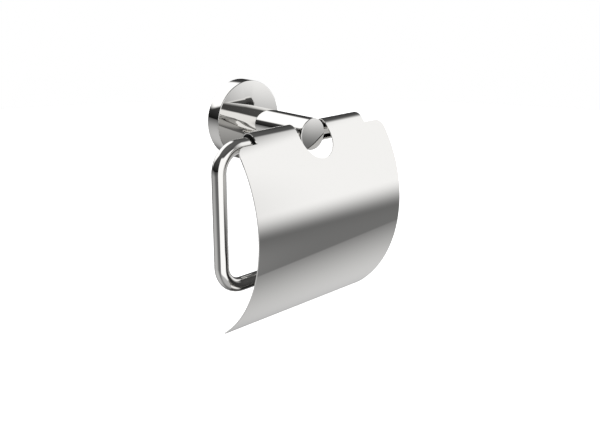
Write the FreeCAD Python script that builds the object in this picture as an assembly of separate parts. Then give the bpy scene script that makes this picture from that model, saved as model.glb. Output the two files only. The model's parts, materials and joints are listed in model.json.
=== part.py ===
"""Wall-mounted toilet paper holder with a hinged cover, in millimetres.

The wall is the plane y = 0 and the room lies towards -Y. +Z is up, and +X is to the right for a
person who faces the wall. The origin is the centre of the rosette on the wall.
A bracket is screwed to the wall. A turned rosette fits over it and carries a round arm. A rod that is
bent into an open loop passes through the arm, and the cover's curled edge turns on that rod.
"""
import FreeCAD, Part
import math
import os

# Rosette and the wall bracket inside it
rosette_diameter = 54.0
rosette_depth = 11.0
rosette_side_wall = 2.0
rosette_face_wall = 3.0
rosette_edge_radius = 0.5
bracket_thickness = 6.0
bracket_fit = 0.15            # radial gap between the bracket's rim and the rosette's bore
bracket_bore_gap = 0.7        # around the washer of the arm's screw
bracket_edge_chamfer = 0.6
wall_hole_diameter = 5.5
wall_screw_head = 10.5        # countersink's mouth
wall_hole_rim = 2.6           # countersink's mouth to the bracket's rim

# Arm
arm_diameter = 20.5
arm_reach = 73.0              # wall to the arm's end face
arm_sleeve_wall = 1.2
arm_sleeve_end = 1.5
arm_edge_radius = 0.5
arm_core_fit = 0.05           # radial gap between the core and the sleeve
arm_core_end_gap = 0.1

# Bent rod
rod_diameter = 9.0
rod_cover = 2.5               # arm's end face to the rod's surface
rod_fit = 0.05                # radial gap in the arm's cross bore
loop_drop = 88.0              # upper run's axis down to the lower run's axis
loop_bend_radius = 15.0       # at the rod's axis
loop_side_gap = 2.5           # cover's side edge to the upright run's surface
upper_end_inset = 1.5         # rod's end inside the curl's end
lower_end_inset = 8.0         # lower run's end inside the cover's side edge
upper_end_chamfer = 0.6
lower_end_radius = 3.0

# Cover
sheet = 0.8
cover_width = 128.0
cover_radius = 87.0           # outside of the large curve
cover_sweep = 95.5            # degrees of the large curve
tangent_rise = 41.7           # degrees above level where the curl runs into the large curve
tab_width = 16.5              # the cover's side beyond the curl
curl_turn = 268.0             # degrees from the tangent line over the top to the free edge
tab_drop = 4.4                # tangent line down to the top edge of the side tabs
tab_corner_radius = 6.0
foot_corner_radius = 2.0
tab_relief_gap = 0.1          # outside the curl, where it is cut away above the tabs
notch_gap = 3.25              # around the arm

# Bushes between the rod and the curls
bush_wall = 1.6
bush_length = 14.0
bush_inset = 0.4              # bush's end inside the curl's end
bush_running_fit = 0.06
bush_press_fit = 0.04

# Fasteners
thread_fit = 0.05
arm_screw_diameter = 6.0
arm_screw_length = 16.0       # under the head
arm_screw_head = 10.0
arm_screw_head_height = 4.0
arm_screw_key = 4.0           # across the hexagon's flats
arm_screw_key_depth = 2.0
arm_thread_runout = 3.0
washer_diameter = 11.6
washer_thickness = 1.2
washer_slit = 1.0
dowel_diameter = 2.5
dowel_length = 8.0
dowel_wall = 0.85             # dowel's side to the core's outside
dowel_end_gap = 0.5
grub_point_angle = 90.0
rosette_grub_diameter = 4.0
rosette_grub_length = 6.0
rosette_grub_key = 2.0
rosette_grub_key_depth = 2.6
rosette_grub_recess = 0.2     # outer end inside the rosette's surface
rod_grub_diameter = 5.0
rod_grub_key = 2.5
rod_grub_key_depth = 2.3
rod_grub_recess = 0.5
rod_grub_contact_gap = 0.02

# Sizes that follow from the ones above
rosette_radius = rosette_diameter / 2
rosette_bore_radius = rosette_radius - rosette_side_wall
rosette_cavity = rosette_depth - rosette_face_wall
bracket_radius = rosette_bore_radius - bracket_fit
bracket_bore_radius = washer_diameter / 2 + bracket_bore_gap
wall_hole_offset = bracket_radius - wall_hole_rim - wall_screw_head / 2
arm_radius = arm_diameter / 2
core_radius = arm_radius - arm_sleeve_wall - arm_core_fit
dowel_offset = core_radius - dowel_wall - dowel_diameter / 2
rod_radius = rod_diameter / 2
rod_y = -(arm_reach - rod_cover - rod_radius)
rod_grub_length = arm_radius - rod_grub_recess - rod_radius - rod_grub_contact_gap
bush_bore_radius = rod_radius + bush_running_fit
bush_outer_radius = bush_bore_radius + bush_wall
curl_inner_radius = bush_outer_radius + bush_press_fit
curl_radius = curl_inner_radius + sheet
notch_radius = arm_radius + notch_gap
cover_half = cover_width / 2
curl_half = cover_half - tab_width
upright_x = -(cover_half + loop_side_gap + rod_radius)

RIGHT = FreeCAD.Vector(1, 0, 0)
ROOMWARD = FreeCAD.Vector(0, -1, 0)
UP = FreeCAD.Vector(0, 0, 1)
DOWN = FreeCAD.Vector(0, 0, -1)
CUT = 1.0                     # how far a cutting tool runs past the surface it cuts


def point(x, y, z):
    return FreeCAD.Vector(x, y, z)


def save(name, shape):
    shape.exportStep(os.path.join("parts", name + ".step"))


def cylinder(radius, start, direction, length):
    return Part.makeCylinder(radius, length, start, direction)


def box(low, high):
    size = high - low
    return Part.makeBox(size.x, size.y, size.z, low)


def ring_edges(shape, radius, at, direction):
    """The circular edges of one radius that lie in the plane through a point."""
    found = []
    for edge in shape.Edges:
        if not isinstance(edge.Curve, Part.Circle):
            continue
        in_plane = abs((edge.Curve.Center - at).dot(direction)) < 1e-6
        if in_plane and abs(edge.Curve.Radius - radius) < 1e-6:
            found.append(edge)
    return found


def hexagon(across_flats, start, direction, depth):
    """A hexagonal prism, for the socket of a screw."""
    across_corners = across_flats / math.cos(math.radians(30))
    corners = [point(across_corners / 2 * math.cos(math.radians(turn)),
                     across_corners / 2 * math.sin(math.radians(turn)), 0) for turn in range(0, 361, 60)]
    prism = Part.Face(Part.makePolygon(corners)).extrude(point(0, 0, depth))
    prism.Placement = FreeCAD.Placement(start, FreeCAD.Rotation(UP, direction))
    return prism


def grub_blank(diameter, length, outer_end, direction):
    """A cone-pointed set screw without its socket, and the space that such a screw needs."""
    radius = diameter / 2
    cone = radius / math.tan(math.radians(grub_point_angle / 2)) / 2
    shank = cylinder(radius, outer_end, direction, length - cone)
    tip = Part.makeCone(radius, radius / 2, cone, outer_end + direction * (length - cone), direction)
    return shank.fuse(tip).removeSplitter()


def rosette_grub_end():
    """The outer end of the rosette's set screw, in the middle of the bracket's thickness."""
    return point(0, -bracket_thickness / 2, -(rosette_radius - rosette_grub_recess))


def rosette_grub_screw():
    """Drawn up from below against the bracket, it holds the rosette to the wall."""
    end = rosette_grub_end()
    socket = hexagon(rosette_grub_key, end + DOWN * CUT, UP, rosette_grub_key_depth + CUT)
    return grub_blank(rosette_grub_diameter, rosette_grub_length, end, UP).cut(socket)


def wall_bracket():
    """A turned disc with two countersunk holes, held to the wall by two screws."""
    front = -bracket_thickness
    disc = cylinder(bracket_radius, point(0, 0, 0), ROOMWARD, bracket_thickness)
    rim = ring_edges(disc, bracket_radius, point(0, front, 0), ROOMWARD)
    disc = disc.makeChamfer(bracket_edge_chamfer, rim)
    disc = disc.cut(cylinder(bracket_bore_radius, point(0, CUT, 0), ROOMWARD, bracket_thickness + 2 * CUT))
    hole_radius = wall_hole_diameter / 2
    mouth_radius = wall_screw_head / 2
    sink = mouth_radius - hole_radius
    for side in (-1, 1):
        x = side * wall_hole_offset
        hole = cylinder(hole_radius, point(x, CUT, 0), ROOMWARD, bracket_thickness + 2 * CUT)
        countersink = Part.makeCone(hole_radius, mouth_radius + CUT, sink + CUT,
                                    point(x, front + sink, 0), ROOMWARD)
        disc = disc.cut(hole).cut(countersink)
    screw_space = grub_blank(rosette_grub_diameter + 2 * thread_fit, rosette_grub_length + thread_fit,
                             rosette_grub_end(), UP)
    return disc.cut(screw_space)


def rosette_cup():
    """The round cover on the wall: a turned cup, open towards the wall."""
    front = -rosette_depth
    cup = cylinder(rosette_radius, point(0, 0, 0), ROOMWARD, rosette_depth)
    cup = cup.makeFillet(rosette_edge_radius, ring_edges(cup, rosette_radius, point(0, front, 0), ROOMWARD))
    cup = cup.cut(cylinder(rosette_bore_radius, point(0, CUT, 0), ROOMWARD, rosette_cavity + CUT))
    screw_hole = cylinder(arm_screw_diameter / 2 + thread_fit, point(0, 0, 0), ROOMWARD, rosette_depth + CUT)
    dowel_hole = cylinder(dowel_diameter / 2, point(0, 0, dowel_offset), ROOMWARD, rosette_depth + CUT)
    grub_hole = cylinder(rosette_grub_diameter / 2 + thread_fit,
                         point(0, -bracket_thickness / 2, -rosette_radius - CUT), UP,
                         rosette_side_wall + 2 * CUT)
    return cup.cut(screw_hole).cut(dowel_hole).cut(grub_hole)


def arm_screw():
    """A low-head cap screw, driven from inside the rosette into the arm's core."""
    seat = -(rosette_cavity - washer_thickness)
    head_top = seat + arm_screw_head_height
    head = cylinder(arm_screw_head / 2, point(0, head_top, 0), ROOMWARD, arm_screw_head_height)
    shank = cylinder(arm_screw_diameter / 2, point(0, seat, 0), ROOMWARD, arm_screw_length)
    socket = hexagon(arm_screw_key, point(0, head_top + CUT, 0), ROOMWARD, arm_screw_key_depth + CUT)
    return head.fuse(shank).removeSplitter().cut(socket)


def arm_spring_washer():
    """A split ring between the screw's head and the rosette."""
    start = point(0, -(rosette_cavity - washer_thickness), 0)
    ring = cylinder(washer_diameter / 2, start, ROOMWARD, washer_thickness)
    ring = ring.cut(cylinder(arm_screw_diameter / 2 + thread_fit, start - ROOMWARD * CUT, ROOMWARD,
                             washer_thickness + 2 * CUT))
    slit = box(point(-washer_slit / 2, -rosette_cavity - CUT, -washer_diameter), point(washer_slit / 2, 0, 0))
    return ring.cut(slit)


def arm_dowel_pin():
    """Keeps the arm from turning on the rosette under the weight of the roll."""
    start = point(0, -(rosette_cavity + dowel_end_gap), dowel_offset)
    return cylinder(dowel_diameter / 2, start, ROOMWARD, dowel_length)


def rod_bore():
    """The space in the arm that the rod passes through."""
    start = point(-arm_radius - CUT, rod_y, 0)
    return cylinder(rod_radius + rod_fit, start, RIGHT, arm_diameter + 2 * CUT)


def rod_grub_screw():
    """Clamps the rod in the arm, from below."""
    end = point(0, rod_y, -(arm_radius - rod_grub_recess))
    socket = hexagon(rod_grub_key, end + DOWN * CUT, UP, rod_grub_key_depth + CUT)
    return grub_blank(rod_grub_diameter, rod_grub_length, end, UP).cut(socket)


def rod_grub_hole():
    """The tapped hole under the rod."""
    start = point(0, rod_y, -arm_radius - CUT)
    return cylinder(rod_grub_diameter / 2 + thread_fit, start, UP, arm_radius + CUT)


def arm_sleeve():
    """The arm's drawn outer tube, closed at its end towards the room."""
    length = arm_reach - rosette_depth
    seat = point(0, -rosette_depth, 0)
    sleeve = cylinder(arm_radius, seat, ROOMWARD, length)
    rim = ring_edges(sleeve, arm_radius, point(0, -arm_reach, 0), ROOMWARD)
    sleeve = sleeve.makeFillet(arm_edge_radius, rim)
    inside = cylinder(arm_radius - arm_sleeve_wall, seat - ROOMWARD * CUT, ROOMWARD,
                      length - arm_sleeve_end + CUT)
    return sleeve.cut(inside).cut(rod_bore()).cut(rod_grub_hole())


def arm_core():
    """The bar inside the sleeve: it takes the screw, the dowel, the rod and the rod's set screw."""
    seat = point(0, -rosette_depth, 0)
    length = arm_reach - rosette_depth - arm_sleeve_end - arm_core_end_gap
    thread_depth = arm_screw_length - washer_thickness - rosette_face_wall + arm_thread_runout
    thread_radius = arm_screw_diameter / 2 + thread_fit
    thread = cylinder(thread_radius, seat - ROOMWARD * CUT, ROOMWARD, thread_depth + CUT)
    dowel_depth = dowel_length + 2 * dowel_end_gap - rosette_face_wall
    dowel_hole = cylinder(dowel_diameter / 2, point(0, -rosette_depth + CUT, dowel_offset), ROOMWARD,
                          dowel_depth + CUT)
    core = cylinder(core_radius, seat, ROOMWARD, length)
    return core.cut(thread).cut(dowel_hole).cut(rod_bore()).cut(rod_grub_hole())


def rod_bend(centre, start, tangent, axis):
    """A quarter turn of the rod about a centre, from a start point."""
    section = Part.Face(Part.Wire(Part.Circle(start, tangent, rod_radius).toShape()))
    return section.revolve(centre, axis, 90)


def bail_rod():
    """One round bar: an upper run through the arm, a bend, an upright, a bend and a lower run."""
    bend = loop_bend_radius
    upper_end = curl_half - upper_end_inset
    lower_end = cover_half - lower_end_inset
    bend_x = upright_x + bend
    upper_run = cylinder(rod_radius, point(bend_x, rod_y, 0), RIGHT, upper_end - bend_x)
    upper_run = upper_run.makeChamfer(upper_end_chamfer,
                                      ring_edges(upper_run, rod_radius, point(upper_end, 0, 0), RIGHT))
    upright = cylinder(rod_radius, point(upright_x, rod_y, -bend), DOWN, loop_drop - 2 * bend)
    lower_run = cylinder(rod_radius, point(bend_x, rod_y, -loop_drop), RIGHT, lower_end - bend_x)
    lower_run = lower_run.makeFillet(lower_end_radius,
                                     ring_edges(lower_run, rod_radius, point(lower_end, 0, 0), RIGHT))
    upper_bend = rod_bend(point(bend_x, rod_y, -bend), point(bend_x, rod_y, 0), RIGHT, ROOMWARD)
    lower_bend = rod_bend(point(bend_x, rod_y, -loop_drop + bend), point(upright_x, rod_y, -loop_drop + bend),
                          DOWN, ROOMWARD)
    return upper_run.multiFuse([upper_bend, upright, lower_bend, lower_run]).removeSplitter()


def on_circle(centre, radius, degrees, x=0.0):
    """A point on a circle in a plane of constant x. 0 degrees is towards the wall and 90 is up."""
    turn = math.radians(degrees)
    return point(x, centre.y + radius * math.cos(turn), centre.z + radius * math.sin(turn))


def arc(centre, radius, start, end):
    middle = (start + end) / 2
    return Part.Arc(on_circle(centre, radius, start), on_circle(centre, radius, middle),
                    on_circle(centre, radius, end)).toShape()


# The cover's section: the curl is centred on the rod, and the large curve touches it from outside
hinge = point(0, rod_y, 0)
tangent_angle = 180.0 - tangent_rise
cover_centre = on_circle(hinge, -(cover_radius - curl_radius), tangent_angle)
foot_angle = tangent_angle + cover_sweep
free_edge_angle = tangent_angle - curl_turn
tab_angle = tangent_angle + math.degrees(tab_drop / cover_radius)


def cover_section():
    """The bent sheet's outline, seen along the rod."""
    outer_foot = on_circle(cover_centre, cover_radius, foot_angle)
    inner_foot = on_circle(cover_centre, cover_radius - sheet, foot_angle)
    outer_edge = on_circle(hinge, curl_radius, free_edge_angle)
    inner_edge = on_circle(hinge, curl_inner_radius, free_edge_angle)
    return Part.Face(Part.Wire([
        arc(cover_centre, cover_radius, foot_angle, tangent_angle),
        arc(hinge, curl_radius, tangent_angle, free_edge_angle),
        Part.makeLine(outer_edge, inner_edge),
        arc(hinge, curl_inner_radius, free_edge_angle, tangent_angle),
        arc(cover_centre, cover_radius - sheet, tangent_angle, foot_angle),
        Part.makeLine(inner_foot, outer_foot),
    ]))


def round_corner(shape, corner, radius):
    """Rounds the sheet's corner at a point, seen square to the sheet."""
    near = 1.5 * sheet        # takes in the edge across the sheet's thickness and no other
    edges = []
    for edge in shape.Edges:
        ends = [vertex.Point for vertex in edge.Vertexes]
        if len(ends) == 2 and edge.Length < near and all((end - corner).Length < near for end in ends):
            edges.append(edge)
    if len(edges) != 1:
        raise ValueError("the corner to round was not found")
    return shape.makeFillet(radius, edges)


def side_relief(side):
    """What is cut away beside the curl, above the side tab."""
    margin = curl_radius + 2 * CUT
    width = cover_half - curl_half + CUT
    start_x = curl_half if side > 0 else -(cover_half + CUT)
    around_rod = cylinder(curl_radius + tab_relief_gap, point(start_x, rod_y, 0), RIGHT, width)
    slab = Part.makeBox(width, 2 * margin, 2 * margin, point(0, -margin, 0))
    along = FreeCAD.Rotation(RIGHT, tab_angle - 180)
    slab.Placement = FreeCAD.Placement(on_circle(cover_centre, cover_radius, tab_angle, start_x), along)
    return around_rod.fuse(slab)


def arm_notch():
    """The round-bottomed slot through which the arm's end shows."""
    near = rod_y - 3 * curl_radius
    far = rod_y + 2 * curl_radius
    bottom = cylinder(notch_radius, point(0, far, 0), ROOMWARD, far - near)
    sides = box(point(-notch_radius, near, 0), point(notch_radius, far, 2 * curl_radius))
    under_rod = box(point(-notch_radius, rod_y - curl_radius, -curl_radius - CUT),
                    point(notch_radius, far, 0))
    return bottom.multiFuse([sides, under_rod])


def lid_sheet():
    """The cover: one bent sheet with two curls that hold the bushes, and a notch for the arm."""
    sheet_metal = cover_section().extrude(point(cover_width, 0, 0))
    sheet_metal.translate(point(-cover_half, 0, 0))
    sheet_metal = sheet_metal.cut(arm_notch())
    for side in (-1, 1):
        sheet_metal = sheet_metal.cut(side_relief(side))
    for side in (-1, 1):
        x = side * cover_half
        middle = cover_radius - sheet / 2
        tab_corner = on_circle(cover_centre, middle, tab_angle, x)
        foot_corner = on_circle(cover_centre, middle, foot_angle, x)
        sheet_metal = round_corner(sheet_metal, tab_corner, tab_corner_radius)
        sheet_metal = round_corner(sheet_metal, foot_corner, foot_corner_radius)
    return sheet_metal


def lid_bush(side):
    """A nylon sleeve pressed into one curl, which turns on the rod."""
    outer_end = curl_half - bush_inset
    start_x = outer_end - bush_length if side > 0 else -outer_end
    start = point(start_x, rod_y, 0)
    sleeve = cylinder(bush_outer_radius, start, RIGHT, bush_length)
    return sleeve.cut(cylinder(bush_bore_radius, start - RIGHT * CUT, RIGHT, bush_length + 2 * CUT))


os.makedirs("parts", exist_ok=True)
save("wall_bracket", wall_bracket())
save("rosette_cup", rosette_cup())
save("rosette_grub_screw", rosette_grub_screw())
save("arm_sleeve", arm_sleeve())
save("arm_core", arm_core())
save("arm_screw", arm_screw())
save("arm_spring_washer", arm_spring_washer())
save("arm_dowel_pin", arm_dowel_pin())
save("rod_grub_screw", rod_grub_screw())
save("bail_rod", bail_rod())
save("lid_sheet", lid_sheet())
save("lid_bush_left", lid_bush(-1))
save("lid_bush_right", lid_bush(1))
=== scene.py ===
"""Looks of a wall-mounted toilet paper holder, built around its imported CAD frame.

The chromed pieces are spun, bent and drilled here as smooth meshes that stand for their CAD nodes. The
pieces behind them keep the CAD's shape, with welded, softened edges. All lengths are in metres.
"""
import json
import math

import bmesh
import bpy
from mathutils import Matrix, Vector


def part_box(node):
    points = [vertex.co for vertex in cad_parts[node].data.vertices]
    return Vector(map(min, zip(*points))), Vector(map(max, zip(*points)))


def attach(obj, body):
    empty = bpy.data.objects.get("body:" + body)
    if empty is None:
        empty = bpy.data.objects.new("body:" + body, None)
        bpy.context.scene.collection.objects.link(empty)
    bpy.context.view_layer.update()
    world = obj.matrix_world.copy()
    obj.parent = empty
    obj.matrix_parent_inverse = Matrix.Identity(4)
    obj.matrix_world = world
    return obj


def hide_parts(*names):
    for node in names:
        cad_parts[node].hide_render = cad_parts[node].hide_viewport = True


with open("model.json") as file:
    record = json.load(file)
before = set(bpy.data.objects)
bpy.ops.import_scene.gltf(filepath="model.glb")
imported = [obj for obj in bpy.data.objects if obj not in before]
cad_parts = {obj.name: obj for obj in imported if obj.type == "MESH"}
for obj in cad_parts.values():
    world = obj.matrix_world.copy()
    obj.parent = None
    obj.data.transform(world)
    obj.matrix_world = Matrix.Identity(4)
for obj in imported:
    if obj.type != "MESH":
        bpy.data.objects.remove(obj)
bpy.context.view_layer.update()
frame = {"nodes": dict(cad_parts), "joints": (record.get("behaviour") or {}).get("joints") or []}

bl_info = {
    "name": "Toilet paper holder with a hinged cover",
    "version": (1, 0, 0),
    "blender": (4, 5, 0),
    "location": "3D View > Sidebar > Holder",
    "description": "Builds the chromed holder, its cover and its studio around the CAD frame",
    "category": "Object",
}

MM = 0.001
RIGHT = Vector((1, 0, 0))
ROOMWARD = Vector((0, -1, 0))
UP = Vector((0, 0, 1))
FULL_TURN = 2 * math.pi
QUARTER = math.pi / 2

WELD = 0.001 * MM                   # vertices nearer than this become one
FLAT_WITHIN = math.radians(0.5)     # triangles that differ less than this are joined into one flat
SMOOTH_UP_TO = math.radians(35)     # edges sharper than this look sharp
SOFTEN_FROM = math.radians(38)      # edges sharper than this are rounded
DRILL_RUN = 1.0 * MM                # how far a drill runs past the surface it cuts

# The rod's axis, which the cover turns on
HINGE_Y, HINGE_Z = frame["joints"][0]["pos_m"][1:]


# ---------------------------------------------------------------- settings

class HolderShape(bpy.types.PropertyGroup):
    """Sizes that the frame's boxes don't give, and how finely round shapes are made."""

    rosette_side: bpy.props.FloatProperty(
        name="Rosette side wall", description="Thickness of the rosette's rim",
        default=2.0 * MM, unit="LENGTH")
    rosette_face: bpy.props.FloatProperty(
        name="Rosette face wall", description="Thickness of the rosette's face",
        default=3.0 * MM, unit="LENGTH")
    polished_edge: bpy.props.FloatProperty(
        name="Polished edge", description="Radius of the rosette's and the arm's front edges",
        default=0.5 * MM, unit="LENGTH")
    sleeve_wall: bpy.props.FloatProperty(
        name="Arm sleeve wall", description="Thickness of the arm's outer tube",
        default=1.2 * MM, unit="LENGTH")
    sleeve_end: bpy.props.FloatProperty(
        name="Arm sleeve end", description="Thickness of the arm's end face",
        default=1.5 * MM, unit="LENGTH")
    rod_fit: bpy.props.FloatProperty(
        name="Rod fit", description="Radial gap between the rod and its bore in the arm",
        default=0.05 * MM, unit="LENGTH")
    thread_fit: bpy.props.FloatProperty(
        name="Thread fit", description="Radial gap around each screw",
        default=0.05 * MM, unit="LENGTH")
    running_fit: bpy.props.FloatProperty(
        name="Running fit", description="Radial gap between the rod and the bushes that turn on it",
        default=0.06 * MM, unit="LENGTH")
    arm_screw_radius: bpy.props.FloatProperty(
        name="Arm screw radius", description="Radius of the thread that passes through the rosette",
        default=3.0 * MM, unit="LENGTH")
    loop_bend: bpy.props.FloatProperty(
        name="Loop bend", description="Radius of the rod's bends, at its axis",
        default=15.0 * MM, unit="LENGTH")
    rod_end_inset: bpy.props.FloatProperty(
        name="Rod end inset", description="Upper end of the rod inside the bush's end",
        default=1.1 * MM, unit="LENGTH")
    rod_end_chamfer: bpy.props.FloatProperty(
        name="Rod end chamfer", description="Chamfer on the rod's upper end",
        default=0.6 * MM, unit="LENGTH")
    rod_end_radius: bpy.props.FloatProperty(
        name="Rod end radius", description="Rounding of the rod's lower end",
        default=3.0 * MM, unit="LENGTH")
    sheet: bpy.props.FloatProperty(
        name="Sheet", description="Thickness of the cover's sheet",
        default=0.8 * MM, unit="LENGTH")
    cover_radius: bpy.props.FloatProperty(
        name="Cover radius", description="Outside radius of the cover's large curve",
        default=87.0 * MM, unit="LENGTH")
    cover_sweep: bpy.props.FloatProperty(
        name="Cover sweep", description="Turn of the cover's large curve",
        default=math.radians(95.5), subtype="ANGLE")
    tangent_rise: bpy.props.FloatProperty(
        name="Tangent rise", description="Angle above level where the curl meets the large curve",
        default=math.radians(41.7), subtype="ANGLE")
    curl_turn: bpy.props.FloatProperty(
        name="Curl turn", description="Turn of the curl round the rod",
        default=math.radians(268.0), subtype="ANGLE")
    bush_inset: bpy.props.FloatProperty(
        name="Bush inset", description="Bush's end inside the curl's end",
        default=0.4 * MM, unit="LENGTH")
    tab_drop: bpy.props.FloatProperty(
        name="Tab drop", description="Tangent line down to the top of the side tabs",
        default=4.4 * MM, unit="LENGTH")
    tab_corner: bpy.props.FloatProperty(
        name="Tab corner", description="Radius of the side tabs' upper corners",
        default=6.0 * MM, unit="LENGTH")
    foot_corner: bpy.props.FloatProperty(
        name="Foot corner", description="Radius of the cover's lower corners",
        default=2.0 * MM, unit="LENGTH")
    notch_gap: bpy.props.FloatProperty(
        name="Notch gap", description="Gap between the cover's notch and the arm",
        default=3.25 * MM, unit="LENGTH")
    sheet_edge: bpy.props.FloatProperty(
        name="Sheet edge", description="Softening of the sheet's cut edges",
        default=0.14 * MM, unit="LENGTH")
    machined_edge: bpy.props.FloatProperty(
        name="Machined edge", description="Softening of the inner pieces' edges",
        default=0.08 * MM, unit="LENGTH")
    turned_edge: bpy.props.FloatProperty(
        name="Turned edge", description="Softening of the less visible turned edges",
        default=0.15 * MM, unit="LENGTH")
    round_steps: bpy.props.IntProperty(
        name="Round steps", description="Sides of the large turned pieces",
        default=256, min=32)
    rod_steps: bpy.props.IntProperty(
        name="Rod steps", description="Sides of the rod", default=96, min=24)
    thread_steps: bpy.props.IntProperty(
        name="Thread steps", description="Sides of the holes for the set screws", default=64, min=24)
    dowel_steps: bpy.props.IntProperty(
        name="Dowel steps", description="Sides of the dowel's hole", default=48, min=24)
    bend_steps: bpy.props.IntProperty(
        name="Bend steps", description="Steps in each of the rod's bends", default=36, min=6)
    arm_slices: bpy.props.IntProperty(
        name="Arm slices", description="Lengths that the arm's side is divided into", default=24, min=1)
    curve_steps: bpy.props.IntProperty(
        name="Curve steps", description="Steps in the cover's large curve", default=220, min=24)
    curl_steps: bpy.props.IntProperty(
        name="Curl steps", description="Steps in the cover's curl", default=96, min=24)
    corner_steps: bpy.props.IntProperty(
        name="Corner steps", description="Steps in a rounded corner", default=12, min=2)
    edge_steps: bpy.props.IntProperty(
        name="Edge steps", description="Steps in the rounding of a turned edge", default=6, min=1)


class HolderFinish(bpy.types.PropertyGroup):
    """Colours and polish."""

    chrome: bpy.props.StringProperty(
        name="Chrome", description="Colour of the chrome plate, sRGB hex", default="E6E5E3")
    nylon: bpy.props.StringProperty(
        name="Nylon", description="Colour of the bushes, sRGB hex", default="0C0C0D")
    zinc: bpy.props.StringProperty(
        name="Zinc", description="Colour of the bracket's zinc plate, sRGB hex", default="BEC2C7")
    brass: bpy.props.StringProperty(
        name="Brass", description="Colour of the arm's core, sRGB hex", default="D2AC62")
    steel: bpy.props.StringProperty(
        name="Steel", description="Colour of the screws, sRGB hex", default="A9A8A5")
    chrome_roughness: bpy.props.FloatProperty(
        name="Chrome roughness", description="Roughness of the polished plate",
        default=0.018, min=0.0, max=1.0)


class HolderStudio(bpy.types.PropertyGroup):
    """Camera and light."""

    camera_place: bpy.props.FloatVectorProperty(
        name="Camera place", description="Where the camera stands",
        default=(-0.3686, -0.4429, 0.1145), subtype="TRANSLATION")
    camera_azimuth: bpy.props.FloatProperty(
        name="Camera azimuth", description="Direction of the camera from the holder, from -Y towards +X",
        default=math.radians(-44.0), subtype="ANGLE")
    camera_elevation: bpy.props.FloatProperty(
        name="Camera elevation", description="How far the camera looks down",
        default=math.radians(17.8), subtype="ANGLE")
    lens: bpy.props.FloatProperty(
        name="Lens", description="Focal length in millimetres on a 36 mm sensor", default=50.4)
    floor_drop: bpy.props.FloatProperty(
        name="Floor drop", description="Height of the holder's rosette above the floor",
        default=0.7, unit="LENGTH")
    floor_radius: bpy.props.FloatProperty(
        name="Floor radius", description="Radius of the pale floor", default=4.0, unit="LENGTH")


# ---------------------------------------------------------------- finishes

def linear(code):
    """An sRGB hex colour as linear RGBA."""
    parts = [int(code[i:i + 2], 16) / 255 for i in (0, 2, 4)]
    return tuple(p / 12.92 if p <= 0.04045 else ((p + 0.055) / 1.055) ** 2.4 for p in parts) + (1.0,)


def add(tree, kind, inputs=None, **settings):
    """Adds a node with its settings. Each input, by name or number, gets a value or another node's socket."""
    node = tree.nodes.new(kind)
    for name, value in settings.items():
        setattr(node, name, value)
    for name, value in (inputs or {}).items():
        if isinstance(value, bpy.types.NodeSocket):
            tree.links.new(value, node.inputs[name])
        else:
            node.inputs[name].default_value = value
    return node


def new_finish(name):
    """The empty node tree of a new material."""
    material = bpy.data.materials.new(name)
    material.use_nodes = True
    material.node_tree.nodes.clear()
    return material.node_tree


def finish_surface(tree, inputs):
    """Ends a material with its surface."""
    surface = add(tree, "ShaderNodeBsdfPrincipled", inputs)
    add(tree, "ShaderNodeOutputMaterial", {"Surface": surface.outputs[0]})


def grain(tree, size_mm, detail=2.0, roughness=0.6):
    """A pattern fixed to the piece, whose grain has the given size in millimetres along X, Y and Z."""
    place = add(tree, "ShaderNodeTexCoord").outputs["Object"]
    scaled = add(tree, "ShaderNodeMapping", {"Vector": place, "Scale": [1 / (size * MM) for size in size_mm]})
    return add(tree, "ShaderNodeTexNoise", {
        "Vector": scaled.outputs[0], "Scale": 1.0, "Detail": detail, "Roughness": roughness}).outputs["Fac"]


def mottled(tree, patches, colour, tint):
    """A colour that drifts towards a tint where the patches are strong."""
    share = add(tree, "ShaderNodeMapRange", {"Value": patches, "From Min": 0.35, "From Max": 0.7}).outputs[0]
    mix = add(tree, "ShaderNodeMix", {0: share, 6: linear(colour), 7: linear(tint)}, data_type="RGBA")
    return mix.outputs[2]


def chrome_plate(name, grain_mm, finish):
    """Chrome plate over buffed metal. The eye reads it by sharp reflections: the only relief is a trace
    of hairlines from the buffing wheel, and a film of handling that dulls the mirror in soft patches."""
    tree = new_finish(name)
    film = add(tree, "ShaderNodeMapRange", {
        "Value": grain(tree, (16.0, 16.0, 16.0), 3.0), "From Min": 0.45, "From Max": 0.75, "To Max": 0.02},
        interpolation_type="SMOOTHSTEP").outputs[0]
    hairlines = grain(tree, grain_mm)
    buffed = add(tree, "ShaderNodeMapRange", {
        "Value": hairlines, "From Min": 0.35, "From Max": 0.75,
        "To Min": finish.chrome_roughness, "To Max": finish.chrome_roughness + 0.02}).outputs[0]
    rough = add(tree, "ShaderNodeMath", {0: film, 1: buffed}, operation="ADD").outputs[0]
    relief = add(tree, "ShaderNodeBump", {"Height": hairlines, "Strength": 0.25, "Distance": 0.0004 * MM})
    finish_surface(tree, {"Base Color": linear(finish.chrome), "Metallic": 1.0, "Roughness": rough,
                          "Normal": relief.outputs[0]})


def moulded_nylon(finish):
    """Moulded black nylon. It is nearly black with a soft sheen, and spark-eroded tool marks break up its
    highlight. Their real grain of about 0.05 mm is drawn at 0.25 mm, so that it shows."""
    tree = new_finish("moulded_black_nylon")
    marks = grain(tree, (0.25, 0.25, 0.25), 3.0)
    rough = add(tree, "ShaderNodeMapRange", {"Value": marks, "To Min": 0.55, "To Max": 0.7}).outputs[0]
    relief = add(tree, "ShaderNodeBump", {"Height": marks, "Strength": 0.5, "Distance": 0.01 * MM})
    finish_surface(tree, {"Base Color": linear(finish.nylon), "IOR": 1.53, "Specular IOR Level": 0.3,
                          "Roughness": rough, "Normal": relief.outputs[0]})


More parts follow.
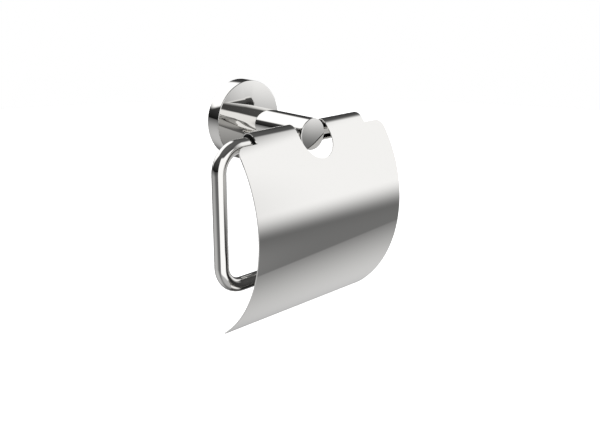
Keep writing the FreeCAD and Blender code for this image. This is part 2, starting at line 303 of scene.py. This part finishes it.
def turned_metal(name, colour, tint, feed_mm, roughness):
    """Metal turned on a lathe about the arm's axis. The tool leaves fine rings that spread the highlight
    into a fan; their real pitch of about 0.1 mm is drawn several times as wide, so that they show."""
    tree = new_finish(name)
    place = add(tree, "ShaderNodeTexCoord").outputs["Object"]
    rings = add(tree, "ShaderNodeTexWave", {
        "Vector": place, "Scale": 1 / (feed_mm * MM) / FULL_TURN, "Distortion": 0.4, "Detail": 2.0},
        wave_type="RINGS", rings_direction="Y").outputs["Fac"]
    patches = grain(tree, (6.0, 6.0, 6.0), 4.0)
    turning = add(tree, "ShaderNodeMapRange", {
        "Value": rings, "To Min": roughness, "To Max": roughness + 0.1}).outputs[0]
    wear = add(tree, "ShaderNodeMapRange", {"Value": patches, "To Max": 0.12}).outputs[0]
    rough = add(tree, "ShaderNodeMath", {0: turning, 1: wear}, operation="ADD").outputs[0]
    relief = add(tree, "ShaderNodeBump", {"Height": rings, "Strength": 0.4, "Distance": 0.003 * MM})
    finish_surface(tree, {"Base Color": mottled(tree, patches, colour, tint), "Metallic": 1.0,
                          "Roughness": rough, "Normal": relief.outputs[0]})


def tumbled_steel(name, colour, tint):
    """Cold-formed stainless steel, tumbled after heading. It is a soft, slightly mottled grey that is a
    little brighter where pieces rubbed in the barrel."""
    tree = new_finish(name)
    dents = grain(tree, (0.9, 0.9, 0.9), 4.0, 0.65)
    patches = grain(tree, (3.0, 3.0, 3.0), 3.0, 0.5)
    rough = add(tree, "ShaderNodeMapRange", {"Value": dents, "To Min": 0.22, "To Max": 0.42}).outputs[0]
    relief = add(tree, "ShaderNodeBump", {"Height": dents, "Strength": 0.4, "Distance": 0.01 * MM})
    finish_surface(tree, {"Base Color": mottled(tree, patches, colour, tint), "Metallic": 1.0,
                          "Roughness": rough, "Normal": relief.outputs[0]})


# ---------------------------------------------------------------- mesh helpers

def weld(bm):
    """Joins vertices that lie on each other."""
    bmesh.ops.remove_doubles(bm, verts=bm.verts, dist=WELD)


def as_piece(bm, name, material):
    """Turns a bmesh into an object at the origin, smooth but for its sharp edges."""
    mesh = bpy.data.meshes.new(name)
    bm.to_mesh(mesh)
    bm.free()
    for polygon in mesh.polygons:
        polygon.use_smooth = True
    mesh.set_sharp_from_angle(angle=SMOOTH_UP_TO)
    if material is not None:
        mesh.materials.append(material)
    piece = bpy.data.objects.new(name, mesh)
    bpy.context.scene.collection.objects.link(piece)
    return piece


def declare(piece, body, slot, *nodes):
    """Says which body a piece moves with, and hides the CAD nodes it stands for. The slot is not used."""
    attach(piece, body)
    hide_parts(*nodes)


def round_corners(bm, verts, radii, segments):
    """Rounds those corners of a flat outline that have a radius."""
    for vert, radius in zip(verts, radii):
        if radius > 0:
            bmesh.ops.bevel(bm, geom=[vert], offset=radius, offset_type="OFFSET", segments=segments,
                            profile=0.5, affect="VERTICES", material=-1)


def crease(bm, at, across):
    """A line of edges where a plane crosses the mesh, so that it can be bent or shaded there."""
    bmesh.ops.bisect_plane(bm, geom=bm.verts[:] + bm.edges[:] + bm.faces[:], dist=WELD,
                           plane_co=at, plane_no=across)


def turned_ring(shape, corners, axis_at, axis, across, steps):
    """A closed section turned once about an axis. Each corner is (radius, along, rounding)."""
    bm = bmesh.new()
    verts = [bm.verts.new(axis_at + across * radius + axis * along) for radius, along, _ in corners]
    bm.faces.new(verts)
    round_corners(bm, verts, [rounding for _, _, rounding in corners], shape.edge_steps)
    outline = bm.edges[:]
    bmesh.ops.delete(bm, geom=bm.faces[:], context="FACES_ONLY")
    bmesh.ops.spin(bm, geom=outline, cent=axis_at, axis=axis, angle=FULL_TURN, steps=steps, use_merge=True)
    weld(bm)
    bmesh.ops.recalc_face_normals(bm, faces=bm.faces)
    return bm


def drill(radius, start, towards, length, steps):
    """A round cutter for a hole."""
    bm = bmesh.new()
    turn = UP.rotation_difference(towards).to_matrix().to_4x4()
    bmesh.ops.create_cone(bm, cap_ends=True, segments=steps, radius1=radius, radius2=radius, depth=length)
    bmesh.ops.transform(bm, matrix=Matrix.Translation(start + towards * length / 2) @ turn, verts=bm.verts)
    return as_piece(bm, "drill", None)


def cut_holes(piece, drills):
    """Cuts each drill out of the piece, for good."""
    for tool in drills:
        cut = piece.modifiers.new("hole", "BOOLEAN")
        cut.operation = "DIFFERENCE"
        cut.solver = "EXACT"
        cut.object = tool
    depsgraph = bpy.context.evaluated_depsgraph_get()
    cut_mesh = bpy.data.meshes.new_from_object(piece.evaluated_get(depsgraph))
    old = piece.data
    piece.modifiers.clear()
    piece.data = cut_mesh
    cut_mesh.name = piece.name
    bpy.data.meshes.remove(old)
    for tool in drills:
        tool_mesh = tool.data
        bpy.data.objects.remove(tool)
        bpy.data.meshes.remove(tool_mesh)
    cut_mesh.set_sharp_from_angle(angle=SMOOTH_UP_TO)


def softened(piece, width):
    """Rounds a piece's sharp edges, and keeps its broad faces flat in the reflections."""
    bevel = piece.modifiers.new("edges", "BEVEL")
    bevel.width = width
    bevel.segments = 2
    bevel.limit_method = "ANGLE"
    bevel.angle_limit = SOFTEN_FROM
    bevel.profile = 0.5
    bevel.use_clamp_overlap = True
    weighted = piece.modifiers.new("normals", "WEIGHTED_NORMAL")
    weighted.keep_sharp = False
    weighted.weight = 100


def welded_copy(node, name, material, edge):
    """A CAD node's own shape with its triangles welded, its flats joined and its edges softened."""
    bm = bmesh.new()
    bm.from_mesh(frame["nodes"][node].data)
    weld(bm)
    bmesh.ops.dissolve_limit(bm, angle_limit=FLAT_WITHIN, verts=bm.verts, edges=bm.edges)
    piece = as_piece(bm, name, material)
    softened(piece, edge)
    return piece


# ---------------------------------------------------------------- pieces

class HolderOperator:
    """What every build step shares."""

    bl_options = {"REGISTER", "UNDO"}


class HOLDER_OT_materials(HolderOperator, bpy.types.Operator):
    """Makes the finishes that the pieces share"""

    bl_idname = "holder.materials"
    bl_label = "Finishes"

    def execute(self, context):
        finish = context.scene.holder_finish
        chrome_plate("chrome_plate_buffed", (0.35, 9.0, 9.0), finish)
        chrome_plate("chrome_plate_buffed_sheet", (12.0, 0.35, 0.35), finish)
        moulded_nylon(finish)
        turned_metal("zinc_plated_turned_steel", finish.zinc, "CBC9BD", 0.9, 0.42)
        turned_metal("turned_brass", finish.brass, "B98F48", 0.35, 0.16)
        tumbled_steel("tumbled_stainless_steel", finish.steel, "C4C4C2")
        return {"FINISHED"}


class HOLDER_OT_rosette(HolderOperator, bpy.types.Operator):
    """Turns the rosette, with its front edge rounded and its three holes drilled"""

    bl_idname = "holder.rosette"
    bl_label = "Rosette"

    def execute(self, context):
        shape = context.scene.holder_shape
        low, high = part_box("rosette_cup")
        outside, depth = high.x, -low.y
        bore = outside - shape.rosette_side
        floor = depth - shape.rosette_face
        hole = shape.arm_screw_radius + shape.thread_fit
        soft = shape.turned_edge
        bm = turned_ring(
            shape, [(hole, floor, 0), (bore, floor, 0), (bore, 0, soft), (outside, 0, soft),
                    (outside, depth, shape.polished_edge), (hole, depth, 0)],
            Vector(), ROOMWARD, RIGHT, shape.round_steps)
        piece = as_piece(bm, "rosette", bpy.data.materials["chrome_plate_buffed"])
        dowel_low, dowel_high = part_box("arm_dowel_pin")
        dowel_radius = (dowel_high.x - dowel_low.x) / 2
        dowel_z = (dowel_low.z + dowel_high.z) / 2
        grub_low, grub_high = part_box("rosette_grub_screw")
        grub_radius = (grub_high.x - grub_low.x) / 2 + shape.thread_fit
        grub_y = (grub_low.y + grub_high.y) / 2
        cut_holes(piece, [
            drill(dowel_radius, Vector((0, -floor + DRILL_RUN, dowel_z)), ROOMWARD,
                  shape.rosette_face + 2 * DRILL_RUN, shape.dowel_steps),
            drill(grub_radius, Vector((0, grub_y, -outside - DRILL_RUN)), UP,
                  shape.rosette_side + 2 * DRILL_RUN, shape.thread_steps)])
        declare(piece, "root", "polished_chrome", "rosette_cup")
        return {"FINISHED"}


class HOLDER_OT_arm(HolderOperator, bpy.types.Operator):
    """Draws the arm's sleeve, bores it for the rod and drills it for the set screw"""

    bl_idname = "holder.arm"
    bl_label = "Arm"

    def execute(self, context):
        shape = context.scene.holder_shape
        low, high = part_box("arm_sleeve")
        rod_low, rod_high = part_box("bail_rod")
        grub_low, grub_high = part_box("rod_grub_screw")
        radius = high.x
        inside = radius - shape.sleeve_wall
        bottom = -low.y - shape.sleeve_end
        soft = shape.turned_edge
        bm = turned_ring(
            shape, [(0, bottom, 0), (inside, bottom, 0), (inside, -high.y, soft), (radius, -high.y, 0),
                    (radius, -low.y, shape.polished_edge), (0, -low.y, 0)],
            Vector(), ROOMWARD, RIGHT, shape.round_steps)
        on_axis = [edge for edge in bm.edges
                   if all(abs(vert.co.x) < WELD and abs(vert.co.z) < WELD for vert in edge.verts)]
        bmesh.ops.delete(bm, geom=on_axis, context="EDGES")
        bmesh.ops.recalc_face_normals(bm, faces=bm.faces)
        for step in range(1, shape.arm_slices):
            crease(bm, (0, high.y + (low.y - high.y) * step / shape.arm_slices, 0), (0, 1, 0))
        piece = as_piece(bm, "arm", bpy.data.materials["chrome_plate_buffed"])
        bore = (rod_high.y - rod_low.y) / 2 + shape.rod_fit
        grub = (grub_high.x - grub_low.x) / 2 + shape.thread_fit
        cut_holes(piece, [
            drill(bore, Vector((-radius - DRILL_RUN, HINGE_Y, HINGE_Z)), RIGHT,
                  2 * (radius + DRILL_RUN), shape.rod_steps),
            drill(grub, Vector((0, HINGE_Y, -radius - DRILL_RUN)), UP,
                  radius + DRILL_RUN, shape.thread_steps)])
        declare(piece, "root", "polished_chrome", "arm_sleeve")
        return {"FINISHED"}


class HOLDER_OT_rod(HolderOperator, bpy.types.Operator):
    """Bends the rod: an upper run, a bend, an upright, a bend and a lower run"""

    bl_idname = "holder.rod"
    bl_label = "Rod"

    def execute(self, context):
        shape = context.scene.holder_shape
        low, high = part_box("bail_rod")
        radius = (high.y - low.y) / 2
        bend = shape.loop_bend
        upright_x = low.x + radius
        lower_z = low.z + radius
        upper_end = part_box("lid_bush_right")[1].x - shape.rod_end_inset
        chamfer = shape.rod_end_chamfer
        bm = bmesh.new()
        facing = Matrix.Translation((upper_end, HINGE_Y, HINGE_Z)) @ Matrix.Rotation(QUARTER, 4, "Y")
        bmesh.ops.create_circle(bm, cap_ends=True, segments=shape.rod_steps, radius=radius - chamfer,
                                matrix=facing)
        ring = self.run_on(bm, bm.edges[:], -RIGHT * chamfer, radius / (radius - chamfer))
        ring = self.run_on(bm, ring, RIGHT * (upright_x + bend - (upper_end - chamfer)))
        ring = self.bend_on(bm, ring, Vector((upright_x + bend, HINGE_Y, HINGE_Z - bend)), shape.bend_steps)
        ring = self.run_on(bm, ring, UP * (lower_z - HINGE_Z + 2 * bend))
        ring = self.bend_on(bm, ring, Vector((upright_x + bend, HINGE_Y, lower_z + bend)), shape.bend_steps)
        rounding = shape.rod_end_radius
        ring = self.run_on(bm, ring, RIGHT * (high.x - rounding - upright_x - bend))
        at, size = 0.0, radius
        for step in range(1, shape.corner_steps + 1):
            turn = QUARTER * step / shape.corner_steps
            along = rounding * math.sin(turn)
            next_size = radius - rounding * (1 - math.cos(turn))
            ring = self.run_on(bm, ring, RIGHT * (along - at), next_size / size)
            at, size = along, next_size
        bmesh.ops.contextual_create(bm, geom=ring)
        bmesh.ops.recalc_face_normals(bm, faces=bm.faces)
        piece = as_piece(bm, "rod", bpy.data.materials["chrome_plate_buffed"])
        declare(piece, "root", "polished_chrome", "bail_rod")
        return {"FINISHED"}

    def run_on(self, bm, ring, shift, growth=1.0):
        """Extrudes the rod's last ring by a shift, and scales it about its middle."""
        made = bmesh.ops.extrude_edge_only(bm, edges=ring)["geom"]
        verts = [item for item in made if isinstance(item, bmesh.types.BMVert)]
        bmesh.ops.translate(bm, verts=verts, vec=shift)
        middle = sum((vert.co for vert in verts), Vector()) / len(verts)
        bmesh.ops.scale(bm, verts=verts, vec=(growth, growth, growth), space=Matrix.Translation(-middle))
        chosen = set(verts)
        return [item for item in made if isinstance(item, bmesh.types.BMEdge) and set(item.verts) <= chosen]

    def bend_on(self, bm, ring, centre, steps):
        """Spins the rod's last ring through a quarter turn."""
        made = bmesh.ops.spin(bm, geom=ring, cent=centre, axis=ROOMWARD, angle=QUARTER, steps=steps)
        return [item for item in made["geom_last"] if isinstance(item, bmesh.types.BMEdge)]


class HOLDER_OT_cover(HolderOperator, bpy.types.Operator):
    """Cuts the cover's flat blank, rolls it and curls its top edge round the bushes"""

    bl_idname = "holder.cover"
    bl_label = "Cover"

    def execute(self, context):
        shape = context.scene.holder_shape
        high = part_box("lid_sheet")[1]
        self.large = shape.cover_radius
        self.small = high.z - HINGE_Z
        self.tangent = math.pi - shape.tangent_rise
        reach = self.large - self.small
        self.centre = Vector((0, HINGE_Y - reach * math.cos(self.tangent),
                              HINGE_Z - reach * math.sin(self.tangent)))
        foot = -self.large * shape.cover_sweep
        free_edge = self.small * shape.curl_turn
        bm = self.blank(shape, high.x, foot, free_edge)
        for step in range(1, shape.curve_steps + 1):
            crease(bm, UP * foot * (1 - step / shape.curve_steps), UP)
        for step in range(1, shape.curl_steps):
            crease(bm, UP * free_edge * step / shape.curl_steps, UP)
        for vert in bm.verts:
            vert.co = self.rolled(vert.co.x, vert.co.z)
        bm.normal_update()
        lowest = min(bm.faces, key=lambda face: face.calc_center_median().z)
        if lowest.normal.dot(lowest.calc_center_median() - self.centre) < 0:
            bmesh.ops.reverse_faces(bm, faces=bm.faces)
        piece = as_piece(bm, "cover", bpy.data.materials["chrome_plate_buffed_sheet"])
        wall = piece.modifiers.new("sheet", "SOLIDIFY")
        wall.thickness = shape.sheet
        wall.offset = -1
        wall.use_even_offset = True
        softened(piece, shape.sheet_edge)
        declare(piece, "lid", "cover_chrome", "lid_sheet")
        return {"FINISHED"}

    def blank(self, shape, half_width, foot, free_edge):
        """The flat sheet before it is rolled: x across, z along it from the tangent line."""
        curl_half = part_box("lid_bush_right")[1].x + shape.bush_inset
        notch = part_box("arm_sleeve")[1].x + shape.notch_gap
        tab_top = -shape.tab_drop
        slot_bottom = self.along(HINGE_Z - notch)
        right = [(half_width, foot, shape.foot_corner), (half_width, tab_top, shape.tab_corner),
                 (curl_half, tab_top, 0), (curl_half, free_edge, 0), (notch, free_edge, 0),
                 (notch, slot_bottom, 0)]
        outline = right + [(-x, along, rounding) for x, along, rounding in reversed(right)]
        bm = bmesh.new()
        verts = [bm.verts.new((x, 0, along)) for x, along, _ in outline]
        bm.faces.new(verts)
        round_corners(bm, verts, [rounding for _, _, rounding in outline], shape.corner_steps)
        # the two corners at the slot's bottom meet in one round, which is then fitted to the arm's circle
        slot_corners = verts[len(right) - 1:len(right) + 1]
        made = bmesh.ops.bevel(bm, geom=slot_corners, offset=notch, offset_type="OFFSET",
                               segments=4 * shape.corner_steps, profile=0.5, affect="VERTICES", material=-1)
        for vert in made["verts"]:
            height = HINGE_Z - math.sqrt(max(notch ** 2 - vert.co.x ** 2, 0.0))
            vert.co.z = self.along(height)
        weld(bm)
        return bm

    def along(self, height):
        """How far below the tangent line a height on the large curve lies, measured on the sheet."""
        turn = math.pi - math.asin((height - self.centre.z) / self.large)
        return -self.large * (turn - self.tangent)

    def rolled(self, x, along):
        """Where a point of the blank ends up."""
        radius, y, z = self.large, self.centre.y, self.centre.z
        if along > 0:
            radius, y, z = self.small, HINGE_Y, HINGE_Z
        turn = self.tangent - along / radius
        return Vector((x, y + radius * math.cos(turn), z + radius * math.sin(turn)))


class HOLDER_OT_bushes(HolderOperator, bpy.types.Operator):
    """Moulds the two bushes between the curls and the rod"""

    bl_idname = "holder.bushes"
    bl_label = "Bushes"

    def execute(self, context):
        shape = context.scene.holder_shape
        rod_low, rod_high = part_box("bail_rod")
        bore = (rod_high.y - rod_low.y) / 2 + shape.running_fit
        for side in ("left", "right"):
            low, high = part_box("lid_bush_" + side)
            outside = (high.z - low.z) / 2
            soft = 2 * shape.turned_edge
            bm = turned_ring(
                shape, [(bore, low.x, soft), (outside, low.x, soft), (outside, high.x, soft),
                        (bore, high.x, soft)],
                Vector((0, HINGE_Y, HINGE_Z)), RIGHT, UP, shape.rod_steps)
            piece = as_piece(bm, "bush_" + side, bpy.data.materials["moulded_black_nylon"])
            declare(piece, "lid", "black_nylon", "lid_bush_" + side)
        return {"FINISHED"}


class HOLDER_OT_bracket(HolderOperator, bpy.types.Operator):
    """Finishes the wall bracket inside the rosette"""

    bl_idname = "holder.bracket"
    bl_label = "Wall bracket"

    def execute(self, context):
        shape = context.scene.holder_shape
        piece = welded_copy("wall_bracket", "bracket", bpy.data.materials["zinc_plated_turned_steel"],
                            shape.machined_edge)
        declare(piece, "root", "zinc_plated_steel", "wall_bracket")
        return {"FINISHED"}


class HOLDER_OT_fasteners(HolderOperator, bpy.types.Operator):
    """Finishes the arm's core, its screw, washer and dowel, and the two set screws"""

    bl_idname = "holder.fasteners"
    bl_label = "Core and fasteners"

    def execute(self, context):
        shape = context.scene.holder_shape
        core = welded_copy("arm_core", "core", bpy.data.materials["turned_brass"], shape.machined_edge)
        declare(core, "root", "turned_brass", "arm_core")
        steel = bpy.data.materials["tumbled_stainless_steel"]
        for node in ("arm_screw", "arm_spring_washer", "arm_dowel_pin", "rosette_grub_screw",
                     "rod_grub_screw"):
            piece = welded_copy(node, node + "_steel", steel, shape.machined_edge)
            declare(piece, "root", "stainless_screws", node)
        return {"FINISHED"}


# ---------------------------------------------------------------- stage

def direction(azimuth, elevation):
    """A direction from its azimuth, from -Y towards +X, and its elevation, both in degrees."""
    turn, rise = math.radians(azimuth), math.radians(elevation)
    return Vector((math.sin(turn) * math.cos(rise), -math.cos(turn) * math.cos(rise), math.sin(rise)))


# The studio's soft panels: each panel's brightness, then its corners in order, each with its azimuth and
# elevation in degrees and how soft the edge after it is.
PANELS = (
    (1.22, (((-51, -35), 4), ((-10, -35), 4), ((-20, 28), 4), ((-51, 38), 4))),
    (1.22, (((-30, -35), 4), ((24, -32), 3), ((24, 21), 4), ((-30, 27), 4))),
    (1.13, (((30, -8), 9), ((105, -10.5), 13), ((101, 38.5), 6.5), ((32, 39.5), 14))),
    (1.3, (((149, 25), 5), ((213, 17), 3), ((232, 38), 4), ((240, 46), 6), ((218, 61), 8), ((140, 64), 4))),
    (1.3, (((152, 3), 5), ((203, 3), 3), ((203, 30), 4), ((150, 30), 4))),
)
# Two round pools of light on the studio's floor: where each one's middle lies, and its brightness.
POOLS = (((226, -38), 0.41), ((-7, -42), 0.34))
POOL_REACH = (0.67, 0.97)           # cosines of the angles at which a pool starts and is full
# The third pool runs out more slowly, and a straight shadow cuts it off.
LONG_POOL = ((102, -40), 0.51)
LONG_POOL_REACH = (0.76, 1.0)
SHADOW_LINE = ((57.5, -28), (54, -41), 0.5)
FLOOR_LIGHT = 0.195                 # the floor's brightness between the pools
FLOOR_FADE = (-0.50, 0.35)          # heights between which the floor's light dies away
SKIRTING = (-0.025, 0.005)          # heights between which the floor gives way to the walls
WALL_LIGHT = (0.008, 0.12)          # brightness of the walls at the floor and high up
WALL_TOP = 0.9                      # height at which the walls have their full brightness


class HOLDER_OT_stage(HolderOperator, bpy.types.Operator):
    """Sets out the camera, the pale floor and the studio's light"""

    bl_idname = "holder.stage"
    bl_label = "Stage"

    def execute(self, context):
        studio = context.scene.holder_studio
        self.camera(studio)
        self.floor(studio)
        self.light()
        context.scene.view_settings.view_transform = "Standard"
        return {"FINISHED"}

    def camera(self, studio):
        data = bpy.data.cameras.new("camera")
        data.lens = studio.lens
        data.sensor_width = 36.0
        data.clip_start = 0.01
        camera = bpy.data.objects.new("camera", data)
        camera.location = studio.camera_place
        back = direction(math.degrees(studio.camera_azimuth), math.degrees(studio.camera_elevation))
        camera.rotation_euler = back.to_track_quat("Z", "Y").to_euler()
        bpy.context.scene.collection.objects.link(camera)
        bpy.context.scene.camera = camera

    def floor(self, studio):
        bm = bmesh.new()
        bmesh.ops.create_circle(bm, cap_ends=True, segments=96, radius=studio.floor_radius,
                                matrix=Matrix.Translation((0, 0, -studio.floor_drop)))
        tree = new_finish("pale_floor")
        finish_surface(tree, {"Base Color": linear("F4F4F4"), "Roughness": 0.9,
                              "Emission Color": linear("FFFFFF"), "Emission Strength": 1.0})
        floor = as_piece(bm, "floor", bpy.data.materials["pale_floor"])
        floor.visible_glossy = False

    def light(self):
        """A dim studio with five soft panels of light, above a floor that they brighten in three pools."""
        world = bpy.data.worlds.new("studio")
        world.use_nodes = True
        bpy.context.scene.world = world
        self.tree = tree = world.node_tree
        tree.nodes.clear()
        self.way = add(tree, "ShaderNodeTexCoord").outputs["Generated"]

        place, brightness = LONG_POOL
        floor = add(tree, "ShaderNodeMath", {
            0: self.towards(direction(*place), LONG_POOL_REACH, (0.0, brightness)),
            1: self.beyond(*SHADOW_LINE), 2: FLOOR_LIGHT}, operation="MULTIPLY_ADD").outputs[0]
        for place, brightness in POOLS:
            pool = self.towards(direction(*place), POOL_REACH, (0.0, brightness), "SMOOTHSTEP")
            floor = add(tree, "ShaderNodeMath", {0: floor, 1: pool}, operation="ADD").outputs[0]
        fading = self.towards(UP, FLOOR_FADE, (1.0, 0.0), "SMOOTHSTEP")
        floor = add(tree, "ShaderNodeMath", {0: floor, 1: fading}, operation="MULTIPLY").outputs[0]

        walls = self.towards(UP, (0.0, WALL_TOP), WALL_LIGHT)
        below = self.towards(UP, SKIRTING, (1.0, 0.0), "SMOOTHSTEP")
        room = add(tree, "ShaderNodeMix", {0: below, 2: walls, 3: floor}, data_type="FLOAT").outputs[0]
        for brightness, corners in PANELS:
            shape = 1.0
            for (corner, softness), (following, _) in zip(corners, corners[1:] + corners[:1]):
                inside = self.beyond(corner, following, softness)
                shape = add(tree, "ShaderNodeMath", {0: inside, 1: shape}, operation="MULTIPLY").outputs[0]
            room = add(tree, "ShaderNodeMix", {0: shape, 2: room, 3: brightness},
                       data_type="FLOAT").outputs[0]

        # the background itself is plain white; only the pieces see the studio
        seen = add(tree, "ShaderNodeLightPath").outputs["Is Camera Ray"]
        strength = add(tree, "ShaderNodeMix", {0: seen, 2: room, 3: 1.0}, data_type="FLOAT").outputs[0]
        sky = add(tree, "ShaderNodeBackground", {"Strength": strength, "Color": (1, 1, 1, 1)})
        add(tree, "ShaderNodeOutputWorld", {"Surface": sky.outputs[0]})

    def towards(self, place, reach, brightness, fade="LINEAR"):
        """A brightness that changes with how nearly the room's direction points to a place."""
        nearness = add(self.tree, "ShaderNodeVectorMath", {0: self.way, 1: place}, operation="DOT_PRODUCT")
        return add(self.tree, "ShaderNodeMapRange", {
            "Value": nearness.outputs["Value"], "From Min": reach[0], "From Max": reach[1],
            "To Min": brightness[0], "To Max": brightness[1]}, interpolation_type=fade).outputs[0]

    def beyond(self, first, second, softness):
        """Where the room lies on the left of a line between two directions, faded over some degrees."""
        across = direction(*first).cross(direction(*second)).normalized()
        reach = math.sin(math.radians(softness))
        return self.towards(across, (-reach, reach), (0.0, 1.0), "SMOOTHSTEP")


# ---------------------------------------------------------------- panel and registration

BUILD_STEPS = ("materials", "rosette", "arm", "rod", "cover", "bushes", "bracket", "fasteners", "stage")


class HOLDER_PT_panel(bpy.types.Panel):
    """Lists the holder's build steps"""

    bl_idname = "HOLDER_PT_panel"
    bl_label = "Toilet paper holder"
    bl_space_type = "VIEW_3D"
    bl_region_type = "UI"
    bl_category = "Holder"

    def draw(self, context):
        for step in BUILD_STEPS:
            self.layout.operator("holder." + step)


CLASSES = (
    HolderShape, HolderFinish, HolderStudio, HOLDER_OT_materials, HOLDER_OT_rosette, HOLDER_OT_arm,
    HOLDER_OT_rod, HOLDER_OT_cover, HOLDER_OT_bushes, HOLDER_OT_bracket, HOLDER_OT_fasteners,
    HOLDER_OT_stage, HOLDER_PT_panel,
)


def register():
    for cls in CLASSES:
        bpy.utils.register_class(cls)
    bpy.types.Scene.holder_shape = bpy.props.PointerProperty(type=HolderShape)
    bpy.types.Scene.holder_finish = bpy.props.PointerProperty(type=HolderFinish)
    bpy.types.Scene.holder_studio = bpy.props.PointerProperty(type=HolderStudio)


def unregister():
    del bpy.types.Scene.holder_studio
    del bpy.types.Scene.holder_finish
    del bpy.types.Scene.holder_shape
    for cls in reversed(CLASSES):
        bpy.utils.unregister_class(cls)


def main():
    register()
    for step in BUILD_STEPS:
        getattr(bpy.ops.holder, step)()


if __name__ == "__main__":
    main()
